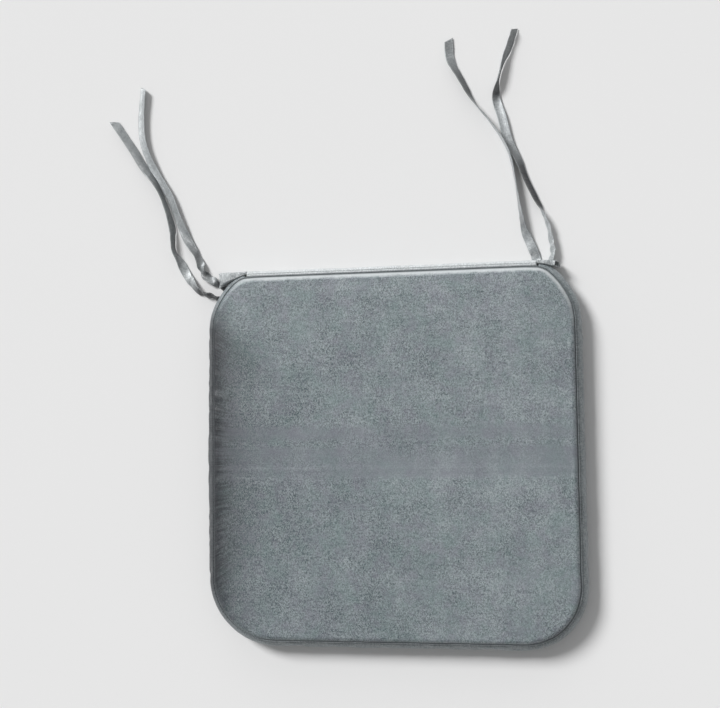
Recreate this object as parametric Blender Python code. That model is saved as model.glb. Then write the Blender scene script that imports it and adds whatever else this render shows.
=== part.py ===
"""Square chair seat pad: a foam slab in a zip-off fabric cover, with four tie ribbons.

Metres, +Z up, +Y towards the back of the chair, where the ties are. The origin is the middle of
the underside. The cover is a top and a bottom panel joined by a bulging side band. Along the back
edge the band is a straight strip in two halves with a coil zip between them, and the strip's ends
stand past the rounded corners as folded tucks. Two ribbons are sewn into the bottom seam at each
back corner.
"""
import math

import bmesh
import bpy
from mathutils import Vector

MM = 0.001

# Cover, measured on the outline of its seams
SEAM_WIDTH = 0.386
SEAM_DEPTH = 0.386
BACK_CORNER_RADIUS = 0.052
FRONT_CORNER_RADIUS = 0.060
PAD_HEIGHT = 0.030
TOP_SEAM_DROP = 0.0055
BOTTOM_SEAM_RISE = 0.0026
BAND_BULGE = 0.0070
FABRIC = 0.0008
RIDGE_RADIUS = 0.00065
PIECE_GAP = 0.0003

# Crown of the top panel and turned-up rim of the bottom panel: (distance in from the seam, drop)
CROWN_STEPS = ((0.0020, 0.0032), (0.0060, 0.0018), (0.0140, 0.0009), (0.0400, 0.0004), (0.0900, 0.0))
RIM_STEPS = ((0.0020, 0.0010), (0.0060, 0.0))
INNERMOST_INSET = 0.120
SMALLEST_RING_RADIUS = 0.012

# Zip and the strip that carries it
STRIP_OVERRUN = 0.0140
BAND_END_SETBACK = 0.0015
TUCK_LENGTH = 0.0272
TUCK_MOUTH = 0.0100
TUCK_ROOT = 0.0020
SLOT_HEIGHT = 0.0075
TAPE_INSET = 0.0011
TAPE_THICKNESS = 0.0005
TAPE_SEAM_MARGIN = 0.00275
TAPE_END_MARGIN = 0.0010
COIL_END_MARGIN = 0.0090
COIL_WIDTH = 0.0016
COIL_DEPTH = 0.0016
ROW_SPACING = 0.0012
STOP_LENGTH = 0.0025

# Slider and pull tab
SLIDER_END_MARGIN = 0.0020
SLIDER_LENGTH = 0.0100
SLIDER_WIDTH = 0.0066
WING_THICKNESS = 0.0008
NECK_THICKNESS = 0.0006
RAIL_WIDTH = 0.0006
BAIL_LENGTH = 0.0054
BAIL_WIDTH = 0.0020
BAIL_WALL = 0.0008
BAIL_OPENING = 0.0016
PULL_LENGTH = 0.0155
PULL_WIDTH = 0.0054
PULL_THICKNESS = 0.0009
WINDOW_LENGTH = 0.0031
WINDOW_WIDTH = 0.0030

# Ribbons
TIE_WIDTH = 0.0100
TIE_THICKNESS = 0.0006
TIE_POINT_SPACING = 0.0085
TACK_LENGTH = 0.0100
TACK_WIDTH = 0.0014
TACK_THICKNESS = 0.0005

# Centre lines of the ribbons, from the bottom seam to the free end
TIE_ROUTES = {
    "tie_left_inner": (
        (-0.1793, 0.1793, 0.0022), (-0.1845, 0.1845, 0.0016), (-0.1915, 0.1900, 0.0010),
        (-0.2010, 0.1945, 0.0010), (-0.2095, 0.2020, 0.0012), (-0.2170, 0.2210, 0.0014),
        (-0.2290, 0.2410, 0.0018), (-0.2400, 0.2660, 0.0022), (-0.2500, 0.2910, 0.0022),
        (-0.2660, 0.3180, 0.0022), (-0.2795, 0.3500, 0.0016), (-0.2825, 0.3790, 0.0008),
        (-0.2800, 0.4150, 0.0008),
    ),
    "tie_left_outer": (
        (-0.1869, 0.1695, 0.0022), (-0.1925, 0.1729, 0.0014), (-0.2010, 0.1765, 0.0008),
        (-0.2100, 0.1795, 0.0007), (-0.2170, 0.1840, 0.0007), (-0.2290, 0.2000, 0.0007),
        (-0.2370, 0.2170, 0.0007), (-0.2440, 0.2300, 0.0007), (-0.2460, 0.2560, 0.0007),
        (-0.2550, 0.2850, 0.0007), (-0.2660, 0.3070, 0.0007), (-0.2810, 0.3270, 0.0007),
        (-0.2940, 0.3480, 0.0007), (-0.3150, 0.3790, 0.0007),
    ),
    "tie_right_inner": (
        (0.1531, 0.1936, 0.0022), (0.1545, 0.1995, 0.0014), (0.1540, 0.2070, 0.0008),
        (0.1510, 0.2150, 0.0007), (0.1430, 0.2340, 0.0007), (0.1390, 0.2540, 0.0007),
        (0.1345, 0.2880, 0.0007), (0.1290, 0.3160, 0.0007), (0.1190, 0.3380, 0.0007),
        (0.1070, 0.3560, 0.0007), (0.0920, 0.3760, 0.0007), (0.0780, 0.4030, 0.0007),
        (0.0680, 0.4230, 0.0007), (0.0660, 0.4460, 0.0007),
    ),
    "tie_right_outer": (
        (0.1642, 0.1897, 0.0022), (0.1668, 0.1955, 0.0014), (0.1700, 0.2030, 0.0008),
        (0.1715, 0.2130, 0.0007), (0.1680, 0.2330, 0.0007), (0.1620, 0.2530, 0.0007),
        (0.1550, 0.2680, 0.0010), (0.1460, 0.2880, 0.0016), (0.1380, 0.3100, 0.0022),
        (0.1280, 0.3320, 0.0022), (0.1220, 0.3570, 0.0022), (0.1160, 0.3780, 0.0014),
        (0.1170, 0.3920, 0.0008), (0.1230, 0.4150, 0.0007), (0.1310, 0.4340, 0.0007),
        (0.1370, 0.4520, 0.0007),
    ),
}

# Resolution of the round stretches
CORNER_STEPS = 8
BAND_STEPS = 8
RIDGE_SIDES = 8
TUCK_STEPS = 6

# Heights and places that follow from the sizes above
TOP_SEAM_Z = PAD_HEIGHT - TOP_SEAM_DROP
BOTTOM_SEAM_Z = BOTTOM_SEAM_RISE
SEAM_STEP = RIDGE_RADIUS + PIECE_GAP
BACK_SEAM_Y = SEAM_DEPTH / 2
STRIP_HALF_LENGTH = SEAM_WIDTH / 2 - BACK_CORNER_RADIUS + STRIP_OVERRUN
COIL_HALF_LENGTH = STRIP_HALF_LENGTH - COIL_END_MARGIN
ZIP_Z = (TOP_SEAM_Z + BOTTOM_SEAM_Z) / 2
TAPE_Y = BACK_SEAM_Y + TAPE_INSET
COIL_Y = TAPE_Y + TAPE_THICKNESS + PIECE_GAP
FRONT_WING_Y = COIL_Y + COIL_DEPTH + PIECE_GAP
REAR_WING_Y = TAPE_Y - PIECE_GAP
PULL_Y = FRONT_WING_Y + WING_THICKNESS + BAIL_OPENING / 2
SLIDER_X = -(COIL_HALF_LENGTH - SLIDER_LENGTH / 2 - SLIDER_END_MARGIN)


def clear_scene():
    for item in list(bpy.data.objects):
        bpy.data.objects.remove(item, do_unlink=True)


def material(name, color, roughness, metallic=0.0):
    result = bpy.data.materials.new(name)
    result.use_nodes = True
    shader = result.node_tree.nodes["Principled BSDF"]
    shader.inputs["Base Color"].default_value = (*color, 1.0)
    shader.inputs["Roughness"].default_value = roughness
    shader.inputs["Metallic"].default_value = metallic
    return result


def link(name, data, finish):
    piece = bpy.data.objects.new(name, data)
    data.materials.append(finish)
    bpy.context.scene.collection.objects.link(piece)
    return piece


def loft(name, rings, finish, joined=False, smooth=True):
    """A closed body through rings of points: end caps, or the last ring joined to the first."""
    mesh = bmesh.new()
    rows = [[mesh.verts.new(point) for point in ring] for ring in rings]
    count = len(rows[0])
    pairs = list(zip(rows, rows[1:]))
    if joined:
        pairs.append((rows[-1], rows[0]))
    for near, far in pairs:
        for i in range(count):
            j = (i + 1) % count
            mesh.faces.new((near[i], near[j], far[j], far[i]))
    if not joined:
        mesh.faces.new(list(reversed(rows[0])))
        mesh.faces.new(rows[-1])
    bmesh.ops.recalc_face_normals(mesh, faces=mesh.faces)
    data = bpy.data.meshes.new(name)
    mesh.to_mesh(data)
    mesh.free()
    if smooth:
        data.shade_smooth()
        data.set_sharp_from_angle(angle=math.radians(40))
    return link(name, data, finish)


def bevelled(piece, width, segments=2):
    bevel = piece.modifiers.new("soft_edges", "BEVEL")
    bevel.width = width
    bevel.segments = segments
    bevel.limit_method = "ANGLE"
    return piece


def block(name, low, high, finish, bevel_width=0.0):
    """A box between two corners, with softened edges if a width is given."""
    corners = ((low[1], low[2]), (high[1], low[2]), (high[1], high[2]), (low[1], high[2]))
    rings = [[(x, y, z) for y, z in corners] for x in (low[0], high[0])]
    piece = loft(name, rings, finish, smooth=False)
    if bevel_width:
        bevelled(piece, bevel_width)
    return piece


def corner_arcs(inset=0.0):
    """Centre, radius and first heading of the corners of the seam outline, back right one first."""
    half_width = SEAM_WIDTH / 2 - inset
    half_depth = SEAM_DEPTH / 2 - inset
    back = max(BACK_CORNER_RADIUS - inset, SMALLEST_RING_RADIUS)
    front = max(FRONT_CORNER_RADIUS - inset, SMALLEST_RING_RADIUS)
    return (
        (half_width - back, half_depth - back, back, 90),
        (half_width - front, -half_depth + front, front, 0),
        (-half_width + front, -half_depth + front, front, -90),
        (-half_width + back, half_depth - back, back, -180),
    )


def outline_stations(inset=0.0):
    """(point, outward heading) clockwise round the outline, from the right end of the back edge."""
    stations = []
    for x, y, radius, first in corner_arcs(inset):
        for step in range(CORNER_STEPS + 1):
            heading = math.radians(first - 90 * step / CORNER_STEPS)
            across = Vector((math.cos(heading), math.sin(heading)))
            stations.append((Vector((x, y)) + radius * across, across))
    return stations


def ring_at(inset, z):
    return [(*point, z) for point, _ in outline_stations(inset)]


def panel_rings(steps, edge_z, flat_z, down):
    """Rings of one face of a panel from its seam to its middle; down is how far it lies inside."""
    sign = 1 if flat_z > edge_z else -1
    rings = [ring_at(PIECE_GAP, edge_z - sign * down)]
    for inset, drop in steps:
        rings.append(ring_at(inset + down, flat_z - sign * (drop + down)))
    rings.append(ring_at(INNERMOST_INSET, flat_z - sign * down))
    return rings


def panel(name, steps, edge_z, flat_z, finish):
    inner = panel_rings(steps, edge_z, flat_z, FABRIC)
    outer = panel_rings(steps, edge_z, flat_z, 0.0)
    return loft(name, list(reversed(inner)) + outer, finish)


def foam_core(finish):
    down = FABRIC + PIECE_GAP
    side = RIDGE_RADIUS + PIECE_GAP
    lower = panel_rings(RIM_STEPS, BOTTOM_SEAM_Z + SEAM_STEP, 0.0, down)
    upper = panel_rings(CROWN_STEPS, TOP_SEAM_Z - SEAM_STEP, PAD_HEIGHT, down)
    lower[0] = ring_at(side, BOTTOM_SEAM_Z + SEAM_STEP)
    upper[0] = ring_at(side, TOP_SEAM_Z - SEAM_STEP)
    return loft("foam_core", list(reversed(lower)) + upper, finish)


def thickened(profile, thickness):
    """A closed loop: the open profile, and the same profile moved to its right by the thickness."""
    moved = []
    for i, point in enumerate(profile):
        before = profile[max(i - 1, 0)]
        after = profile[min(i + 1, len(profile) - 1)]
        along = Vector((after[0] - before[0], after[1] - before[1])).normalized()
        moved.append((point[0] + along.y * thickness, point[1] - along.x * thickness))
    return list(profile) + list(reversed(moved))


def band_profile():
    """Outer face of the bulging band, (out from the seam, height), from bottom to top."""
    low = BOTTOM_SEAM_Z + SEAM_STEP
    high = TOP_SEAM_Z - SEAM_STEP
    start = RIDGE_RADIUS + FABRIC / 2
    points = []
    for step in range(BAND_STEPS + 1):
        t = step / BAND_STEPS
        swell = 1 - abs(2 * t - 1) ** 2.4
        points.append((start + (BAND_BULGE - start) * swell, low + (high - low) * t))
    return points


def side_band(finish):
    """The boxing strip from one end of the back strip round the front to the other end."""
    loop = thickened(list(reversed(band_profile())), FABRIC)
    x, y, radius, _ = corner_arcs()[0]
    start = math.degrees(math.asin((STRIP_OVERRUN + BAND_END_SETBACK) / radius))
    stations = []
    for point, across in outline_stations():
        if point.y > y and math.degrees(math.asin(abs(across.x))) < start:
            continue
        stations.append((point, across))
    for side, place in ((1, 0), (-1, len(stations) + 1)):
        across = Vector((side * math.sin(math.radians(start)), math.cos(math.radians(start))))
        stations.insert(place, (Vector((side * x, y)) + radius * across, across))
    rings = []
    for point, across in stations:
        rings.append([(*(point + across * out), height) for out, height in loop])
    return loft("side_band", rings, finish)


def seam_ridge(name, z, finish):
    rings = []
    for point, across in outline_stations():
        ring = []
        for side in range(RIDGE_SIDES):
            turn = 2 * math.pi * side / RIDGE_SIDES
            out = RIDGE_RADIUS * (1 + math.cos(turn))
            ring.append((*(point + across * out), z + RIDGE_RADIUS * math.sin(turn)))
        rings.append(ring)
    return loft(name, rings, finish, joined=True)


def along_x(name, loop, half_length, finish, smooth=True):
    rings = [[(x, y, z) for y, z in loop] for x in (-half_length, half_length)]
    return loft(name, rings, finish, smooth=smooth)


def strip_half(name, seam_z, way, finish):
    """One half of the back strip: out from its seam, folded at the slot, its hem on the zip tape."""
    y = BACK_SEAM_Y
    hem_y = TAPE_Y + TAPE_THICKNESS + PIECE_GAP
    lip_z = ZIP_Z - way * SLOT_HEIGHT / 2
    start_z = seam_z + way * SEAM_STEP

    def height(share):
        return start_z + (lip_z - start_z) * share

    profile = [
        (y + RIDGE_RADIUS + FABRIC / 2, start_z), (y + 0.72 * BAND_BULGE, height(0.13)),
        (y + BAND_BULGE, height(0.50)), (y + BAND_BULGE, height(0.75)), (y + 0.80 * BAND_BULGE, lip_z),
        (hem_y, lip_z), (hem_y, height(0.50)),
    ]
    if way < 0:
        loop = thickened(profile, FABRIC)
    else:
        loop = thickened(list(reversed(profile)), FABRIC)
    return along_x(name, loop, STRIP_HALF_LENGTH, finish)


def end_tuck(name, side, finish):
    """A folded strip end: a flattened fabric tube that widens away from the strip, open at its mouth."""
    outer_y = BACK_SEAM_Y + BAND_BULGE
    low = BOTTOM_SEAM_Z + SEAM_STEP + PIECE_GAP
    high = TOP_SEAM_Z - SEAM_STEP - PIECE_GAP
    corner_x, corner_y, corner_radius, _ = corner_arcs()[0]
    band_radius = corner_radius + BAND_BULGE + 2 * PIECE_GAP

    def depth_at(share, x):
        """How far the tuck reaches in from the band's outer face, clear of the corner's own band."""
        clear_y = corner_y + math.sqrt(band_radius ** 2 - (x - corner_x) ** 2)
        wanted = TUCK_ROOT + (TUCK_MOUTH - TUCK_ROOT) * share
        return min(wanted, max(outer_y - clear_y, TUCK_ROOT))

    def section(share, wall):
        x = STRIP_HALF_LENGTH + PIECE_GAP + (TUCK_LENGTH - PIECE_GAP) * share
        inner_y = outer_y - depth_at(share, x) + wall
        face_y = outer_y - wall
        top = high - wall
        bottom = low + wall
        corner = min(1.5 * MM, (face_y - inner_y) / 2.5)
        loop = (
            (inner_y, bottom + corner), (inner_y + corner, bottom), (face_y - corner, bottom),
            (face_y, bottom + corner), (face_y, top - corner), (face_y - corner, top),
            (inner_y + corner, top), (inner_y, top - corner),
        )
        return [(side * x, y, z) for y, z in loop]

    shares = [step / TUCK_STEPS for step in range(TUCK_STEPS + 1)]
    outer = [section(share, 0.0) for share in shares]
    inner = [section(share, FABRIC) for share in reversed(shares)]
    return loft(name, outer + inner, finish, joined=True)


def zip_side(name, way, tape_finish, coil_finish):
    """One tape and its coil row, above the middle of the zip or below it."""
    near = ZIP_Z + way * ROW_SPACING / 2
    far = (TOP_SEAM_Z if way > 0 else BOTTOM_SEAM_Z) - way * TAPE_SEAM_MARGIN
    half_length = STRIP_HALF_LENGTH - TAPE_END_MARGIN
    low, high = sorted((near, far))
    block("zip_tape_" + name, (-half_length, TAPE_Y, low),
          (half_length, TAPE_Y + TAPE_THICKNESS, high), tape_finish)
    low, high = sorted((near, near + way * COIL_WIDTH))
    block("zip_coil_" + name, (-COIL_HALF_LENGTH, COIL_Y, low),
          (COIL_HALF_LENGTH, COIL_Y + COIL_DEPTH, high), coil_finish, 0.3 * MM)


def zip_stop(name, side, finish):
    """A metal stop across both coil rows, just past their ends."""
    half_height = ROW_SPACING / 2 + COIL_WIDTH
    near = COIL_HALF_LENGTH + PIECE_GAP
    ends = sorted((side * near, side * (near + STOP_LENGTH)))
    block(name, (ends[0], COIL_Y, ZIP_Z - half_height),
          (ends[1], COIL_Y + COIL_DEPTH, ZIP_Z + half_height), finish, 0.3 * MM)


def zip_slider(finish):
    """Two wings joined by a neck between the coil rows, side rails, and a bail for the pull."""
    half = SLIDER_WIDTH / 2
    neck = NECK_THICKNESS / 2
    front = FRONT_WING_Y
    rail_y = TAPE_Y + TAPE_THICKNESS + PIECE_GAP
    section = [
        (REAR_WING_Y - WING_THICKNESS, -half), (REAR_WING_Y - WING_THICKNESS, half), (REAR_WING_Y, half),
        (REAR_WING_Y, neck), (front, neck), (front, half - RAIL_WIDTH), (rail_y, half - RAIL_WIDTH),
        (rail_y, half), (front + WING_THICKNESS, half), (front + WING_THICKNESS, -half), (rail_y, -half),
        (rail_y, -half + RAIL_WIDTH), (front, -half + RAIL_WIDTH), (front, -neck), (REAR_WING_Y, -neck),
        (REAR_WING_Y, -half),
    ]
    rings = []
    for x in (-SLIDER_LENGTH / 2, SLIDER_LENGTH / 2):
        rings.append([(x, y - PULL_Y, z) for y, z in section])
    slider = loft("zip_slider", rings, finish, smooth=False)
    slider.location = (SLIDER_X, PULL_Y, ZIP_Z)

    sunk = -BAIL_OPENING / 2 - WING_THICKNESS / 2
    roof = BAIL_OPENING / 2
    long = BAIL_LENGTH / 2
    inside = long - BAIL_WALL
    arch = [
        (-long, sunk), (-long, roof + 0.4 * BAIL_WALL), (-inside, roof + BAIL_WALL),
        (inside, roof + BAIL_WALL), (long, roof + 0.4 * BAIL_WALL), (long, sunk), (inside, sunk),
        (inside, roof), (-inside, roof), (-inside, sunk),
    ]
    rings = [[(x, y, z) for x, y in arch] for z in (-BAIL_WIDTH / 2, BAIL_WIDTH / 2)]
    bail = loft("bail_shape", rings, finish, smooth=False)
    bail.parent = slider
    bail.hide_render = True
    bail.display_type = "WIRE"
    union = slider.modifiers.new("bail", "BOOLEAN")
    union.operation = "UNION"
    union.solver = "EXACT"
    union.object = bail
    return slider


def zip_pull(slider, finish):
    """A flat tab with a window round the bail; its end bar, in the bail, is the hinge."""
    half = PULL_THICKNESS / 2
    wide = PULL_WIDTH / 2
    window = WINDOW_WIDTH / 2
    tip = PULL_LENGTH
    far = half + WINDOW_LENGTH
    outer = [
        (-half, -0.7 * wide), (-half, 0.7 * wide), (0.6 * MM, wide), (tip - 1.6 * MM, wide),
        (tip, 0.5 * wide), (tip, -0.5 * wide), (tip - 1.6 * MM, -wide), (0.6 * MM, -wide),
    ]
    inner = [
        (half, -0.7 * window), (half, 0.7 * window), (half + 0.4 * MM, window), (far - 0.4 * MM, window),
        (far, 0.7 * window), (far, -0.7 * window), (far - 0.4 * MM, -window), (half + 0.4 * MM, -window),
    ]
    rings = []
    for outline, y in ((outer, -half), (outer, half), (inner, half), (inner, -half)):
        rings.append([(x, y, z) for x, z in outline])
    pull = loft("zip_pull", rings, finish, joined=True, smooth=False)
    pull.location = slider.location
    return pull


def smooth_route(points, spacing):
    """Evenly spaced points on a Catmull-Rom curve through the given ones."""
    points = [Vector(point) for point in points]
    padded = [2 * points[0] - points[1]] + points + [2 * points[-1] - points[-2]]
    fine = []
    for a, b, c, d in zip(padded, padded[1:], padded[2:], padded[3:]):
        for step in range(20):
            t = step / 20
            fine.append(0.5 * (2 * b + (c - a) * t + (2 * a - 5 * b + 4 * c - d) * t ** 2
                               + (3 * b - a - 3 * c + d) * t ** 3))
    fine.append(points[-1])
    lengths = [0.0]
    for near, far in zip(fine, fine[1:]):
        lengths.append(lengths[-1] + (far - near).length)
    count = round(lengths[-1] / spacing)
    route = []
    at = 0
    for i in range(count + 1):
        target = lengths[-1] * i / count
        while at < len(lengths) - 2 and lengths[at + 1] < target:
            at += 1
        share = (target - lengths[at]) / (lengths[at + 1] - lengths[at])
        route.append(fine[at].lerp(fine[at + 1], share))
    return route


def tie(name, route, finish):
    """A flat ribbon lying on its face along the route."""
    data = bpy.data.curves.new(name, "CURVE")
    data.dimensions = "3D"
    data.twist_mode = "Z_UP"
    data.bevel_depth = TIE_THICKNESS / 2
    data.bevel_resolution = 1
    data.extrude = (TIE_WIDTH - TIE_THICKNESS) / 2
    data.use_fill_caps = True
    points = smooth_route(route, TIE_POINT_SPACING)
    spline = data.splines.new("POLY")
    spline.points.add(len(points) - 1)
    for knot, point in zip(spline.points, points):
        knot.co = (*point, 1.0)
        knot.tilt = math.pi / 2
    return link(name, data, finish)


def bar_tack(name, route, finish):
    """The short stitched bar that holds a ribbon's end, just under it at the bottom seam."""
    root = Vector(route[0])
    along = (Vector(route[1]) - root).to_2d().normalized()
    across = Vector((-along.y, along.x))
    top = root.z - TIE_THICKNESS / 2 - 2 * PIECE_GAP
    rings = []
    for z in (top - TACK_THICKNESS, top):
        ring = []
        for out, side in ((0, -1), (0, 1), (1, 1), (1, -1)):
            corner = root.to_2d() + along * out * TACK_WIDTH + across * side * TACK_LENGTH / 2
            ring.append((*corner, z))
        rings.append(ring)
    return loft(name, rings, finish, smooth=False)


def main():
    clear_scene()
    cloth = material("cover_fabric", (0.21, 0.25, 0.27), 0.45)
    lining = material("base_fabric", (0.16, 0.19, 0.20), 0.60)
    ribbon = material("ribbon_fabric", (0.30, 0.34, 0.36), 0.40)
    foam = material("foam", (0.80, 0.76, 0.62), 0.95)
    tape = material("zip_tape", (0.18, 0.21, 0.23), 0.80)
    nylon = material("zip_coil", (0.15, 0.18, 0.20), 0.35)
    metal = material("zip_metal", (0.45, 0.47, 0.48), 0.30, 1.0)
    thread = material("thread", (0.24, 0.28, 0.30), 0.55)

    foam_core(foam)
    panel("top_panel", CROWN_STEPS, TOP_SEAM_Z, PAD_HEIGHT, cloth)
    panel("bottom_panel", RIM_STEPS, BOTTOM_SEAM_Z, 0.0, lining)
    side_band(cloth)
    seam_ridge("top_seam_ridge", TOP_SEAM_Z, cloth)
    seam_ridge("bottom_seam_ridge", BOTTOM_SEAM_Z, cloth)
    strip_half("back_band_upper", TOP_SEAM_Z, -1, cloth)
    strip_half("back_band_lower", BOTTOM_SEAM_Z, 1, cloth)
    end_tuck("end_tuck_left", -1, cloth)
    end_tuck("end_tuck_right", 1, cloth)
    zip_side("upper", 1, tape, nylon)
    zip_side("lower", -1, tape, nylon)
    zip_stop("zip_stop_left", -1, metal)
    zip_stop("zip_stop_right", 1, metal)
    slider = zip_slider(metal)
    zip_pull(slider, metal)
    for name, route in TIE_ROUTES.items():
        tie(name, route, ribbon)
        bar_tack(name.replace("tie", "bar_tack"), route, thread)


main()
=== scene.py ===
"""The looks of the chair seat pad: a satin cover over foam, with four folded tie ribbons.

Everything is in metres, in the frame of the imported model: +Z up, +Y towards the tie side, origin
at the middle of the underside. The cover's panels are square grids bent to the seam outline. A
cloth simulation of the whole cover under a little pressure gives their uneven swell, and the
gathers along the seams, the fold lines and the sewing are then worked into the fine meshes.
"""
import math

import bpy
import numpy as np
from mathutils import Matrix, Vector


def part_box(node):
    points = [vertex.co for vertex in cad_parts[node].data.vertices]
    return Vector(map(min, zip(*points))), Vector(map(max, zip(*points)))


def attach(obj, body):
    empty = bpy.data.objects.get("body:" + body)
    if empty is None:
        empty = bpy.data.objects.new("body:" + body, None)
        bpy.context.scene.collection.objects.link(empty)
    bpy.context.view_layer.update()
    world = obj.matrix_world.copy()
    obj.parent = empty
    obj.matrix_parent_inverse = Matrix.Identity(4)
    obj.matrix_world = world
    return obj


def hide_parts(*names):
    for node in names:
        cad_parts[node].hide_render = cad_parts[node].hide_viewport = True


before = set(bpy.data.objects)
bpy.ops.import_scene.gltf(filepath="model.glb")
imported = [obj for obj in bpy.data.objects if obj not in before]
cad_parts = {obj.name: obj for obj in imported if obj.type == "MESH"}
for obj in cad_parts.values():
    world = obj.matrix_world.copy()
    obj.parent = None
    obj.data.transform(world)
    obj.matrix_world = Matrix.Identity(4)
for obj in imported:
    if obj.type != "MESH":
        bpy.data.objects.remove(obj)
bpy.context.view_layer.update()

MM = 0.001

# The camera of the photo, looking down at the pad
LENS_MM = 60
CAMERA_PLACE = (0.2024, 0.0146, 1.2668)
CAMERA_TURN = (0.07063, 0.18686, -0.01258)

# A soft sun, a dim sky with one bright patch low behind the pad, and what the camera sees of it
SUN_ENERGY = 2.98
SUN_DEGREES = 20
SUN_TILT = (-31, -40, 0)
SKY_DIM = 0.31
SKY_BRIGHT = 1.15
PATCH_TOWARDS = (0.0, 0.97, 0.24)
PATCH_STRETCH = (0.45, 1.0, 1.0)
PATCH_EDGE = (0.88, 0.99)
BACKDROP = 0.80
FLOOR_SIDE = 6.0
FLOOR_Z = -0.0003

# Cloth colours: the painted highlight along the back seam, the tint of the bands smoothed flat, and the
# painted shade near the seams and on the ribbons
# The colour of the painted highlight along the back seam
PAINTED_HIGHLIGHT_COLOR = (0.640, 0.672, 0.684)
CREASE_TINT = (0.180, 0.185, 0.222)
# The colour that the painted shade darkens the cloth towards
PAINTED_SHADE_COLOR = (0.014, 0.015, 0.019)
SPECKLE = 0.42
SLUBS = 0.10
SHADE_REACH = 0.028

# Seam outline and heights, the same as the frame's
SEAM_HALF = 0.193
FRONT_RADII = {"left": 0.066, "right": 0.059}
BACK_CORNER = ((58, 0), (43, 0.4), (31, 2.2), (19, 12), (8, 27.5), (2, 42), (0, 57))
TOP_SEAM_Z = 0.0245
BASE_SEAM_Z = 0.0026
CROWN_Z = 0.0300
CLOTH = 0.0008

# The top panel rises from its seam in a small roll, a slope and a slow crown
ROLL_WIDTH = 0.0009
ROLL_RISE = 0.0006
SLOPE_WIDTH = 0.0054
SLOPE_RISE = 0.0038
CROWN_REACH = 0.030
BASE_ROLL_WIDTH = 0.0085
SWELL_FADE = 0.036

# The side band, and how far its left side is bowed out: by how much, where, and over what stretch
BAND_BULGE = 0.0070
BAND_START = 0.0011
BAND_CLOTH = 0.026
LEFT_BOW = 0.0014
LEFT_BOW_TURN = 2.45
LEFT_BOW_SPREAD = 0.28

RIDGE_RADIUS = 0.0007
RIDGE_GAP = 0.0003
RIDGE_FROM_SEAM = 0.0008

# How strongly the cloth gathers, which also sets the strength of the painted shade and painted highlight at
# the seam: (place from 0 to 4 round the outline, strength)
GATHERS_AND_PAINTED_SHADE = ((0.02, 0.35), (0.20, 0.80), (0.88, 0.80), (1.12, 0.75), (1.88, 0.75), (2.12, 1.35),
             (2.86, 1.35), (3.06, 0.35), (4.02, 0.35))

# Puckers beside a seam in three sizes: height, wavelength, reach, and how suddenly they end
PUCKERS = ((0.30 * MM, 4.0 * MM, 6 * MM, 1.5), (0.32 * MM, 6.2 * MM, 12 * MM, 1.6),
           (0.12 * MM, 19 * MM, 24 * MM, 2.0))

# Middle and half width of the smoother bands across the panel, and the fold lines in them
SMOOTH_BANDS = ((0.0235, 0.0075), (-0.0070, 0.0165))
FOLD_LINES = (-0.0130, -0.0232)
FOLD_DEPTH = 0.00015

# Mesh resolution
OUTLINE_SAMPLES = 512
OUTLINE_STEP = 0.25 * MM
OUTLINE_BLUR = 24
PANEL_STEPS = 220
BAND_ROWS = 20
RIDGE_STEPS = 1400
RIDGE_SIDES = 10
STRIP_STEPS = 260

# Cloth simulation
SIM_STEPS = 64
SIM_BAND_ROWS = 6
SIM_FRAMES = 20
SIM_LIMIT = 0.0009
SIM_CLOTH = {
    "quality": 5, "mass": 0.25, "tension_stiffness": 18, "compression_stiffness": 18,
    "shear_stiffness": 8, "bending_stiffness": 0.4, "vertex_group_mass": "held",
    "use_pressure": True, "uniform_pressure_force": 3.0, "shrink_min": -0.004,
}

FOAM_SIDE_GAP = 0.0010
FOAM_TOP_GAP = 0.0030
FOAM_BASE_GAP = 0.0012

# The back strip's halves as (out from the seam, on towards the zip) in millimetres, and its end tucks
STRIP_HALF = 0.155
STRIP_END_GAP = 0.0008
STRIP_CLOTH = 0.0006
UPPER_PROFILE = (
    (1.0, 0.95), (1.8, 0.50), (2.9, 0.45), (3.4, 1.05), (3.9, 0.60), (5.0, 0.95), (6.2, 2.20),
    (6.9, 3.90), (7.0, 5.30), (6.6, 6.70), (5.6, 7.25), (4.0, 7.20), (2.6, 7.00), (1.95, 6.30), (1.95, 4.00),
)
LOWER_PROFILE = (
    (1.0, 0.95), (2.2, 1.00), (4.0, 1.30), (5.6, 2.20), (6.7, 3.60), (6.9, 5.20), (6.5, 6.60),
    (5.4, 7.20), (3.8, 7.15), (2.5, 6.95), (1.95, 6.30), (1.95, 4.00),
)
TUCK_ROWS = 22
TUCK_SIDES = 40
TUCK_DEPTH = 0.0035
TUCK_CLOTH = 0.0007
TUCK_SQUARENESS = 0.28

COIL_PITCH = 0.00125
COIL_WIRE = 0.00028
METAL_WEAR = 0.00012

# Sewing: distances between stitches, and a stitch as (place along it, share of its full width)
STITCH_PITCH = 0.0032
EDGE_PITCH = 0.0026
STITCH_SIDES = 6
STITCH_PROFILE = ((-0.5, 0.25), (-0.46, 0.65), (-0.36, 0.95), (0.0, 1.0),
                  (0.36, 0.95), (0.46, 0.65), (0.5, 0.25))
TOPSTITCH_OUT = 0.0034
TOPSTITCH_DROP = 0.0008
TACK_STITCHES = 22
TACK_SPACING = 0.00044
TACK_INSET = 0.0007
TACK_LEAN = 0.28

RIBBON_STEP = 0.0016
RIBBON_COLUMNS = 15
RIBBON_WIDTH = 0.0098
RIBBON_THICKNESS = 0.0007
RIBBON_SEAM_DISTANCE = 0.002
END_SLANT = 0.0024
ABOVE_FLOOR = 0.00005
STITCH_ABOVE_FLOOR = 0.0004

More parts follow.
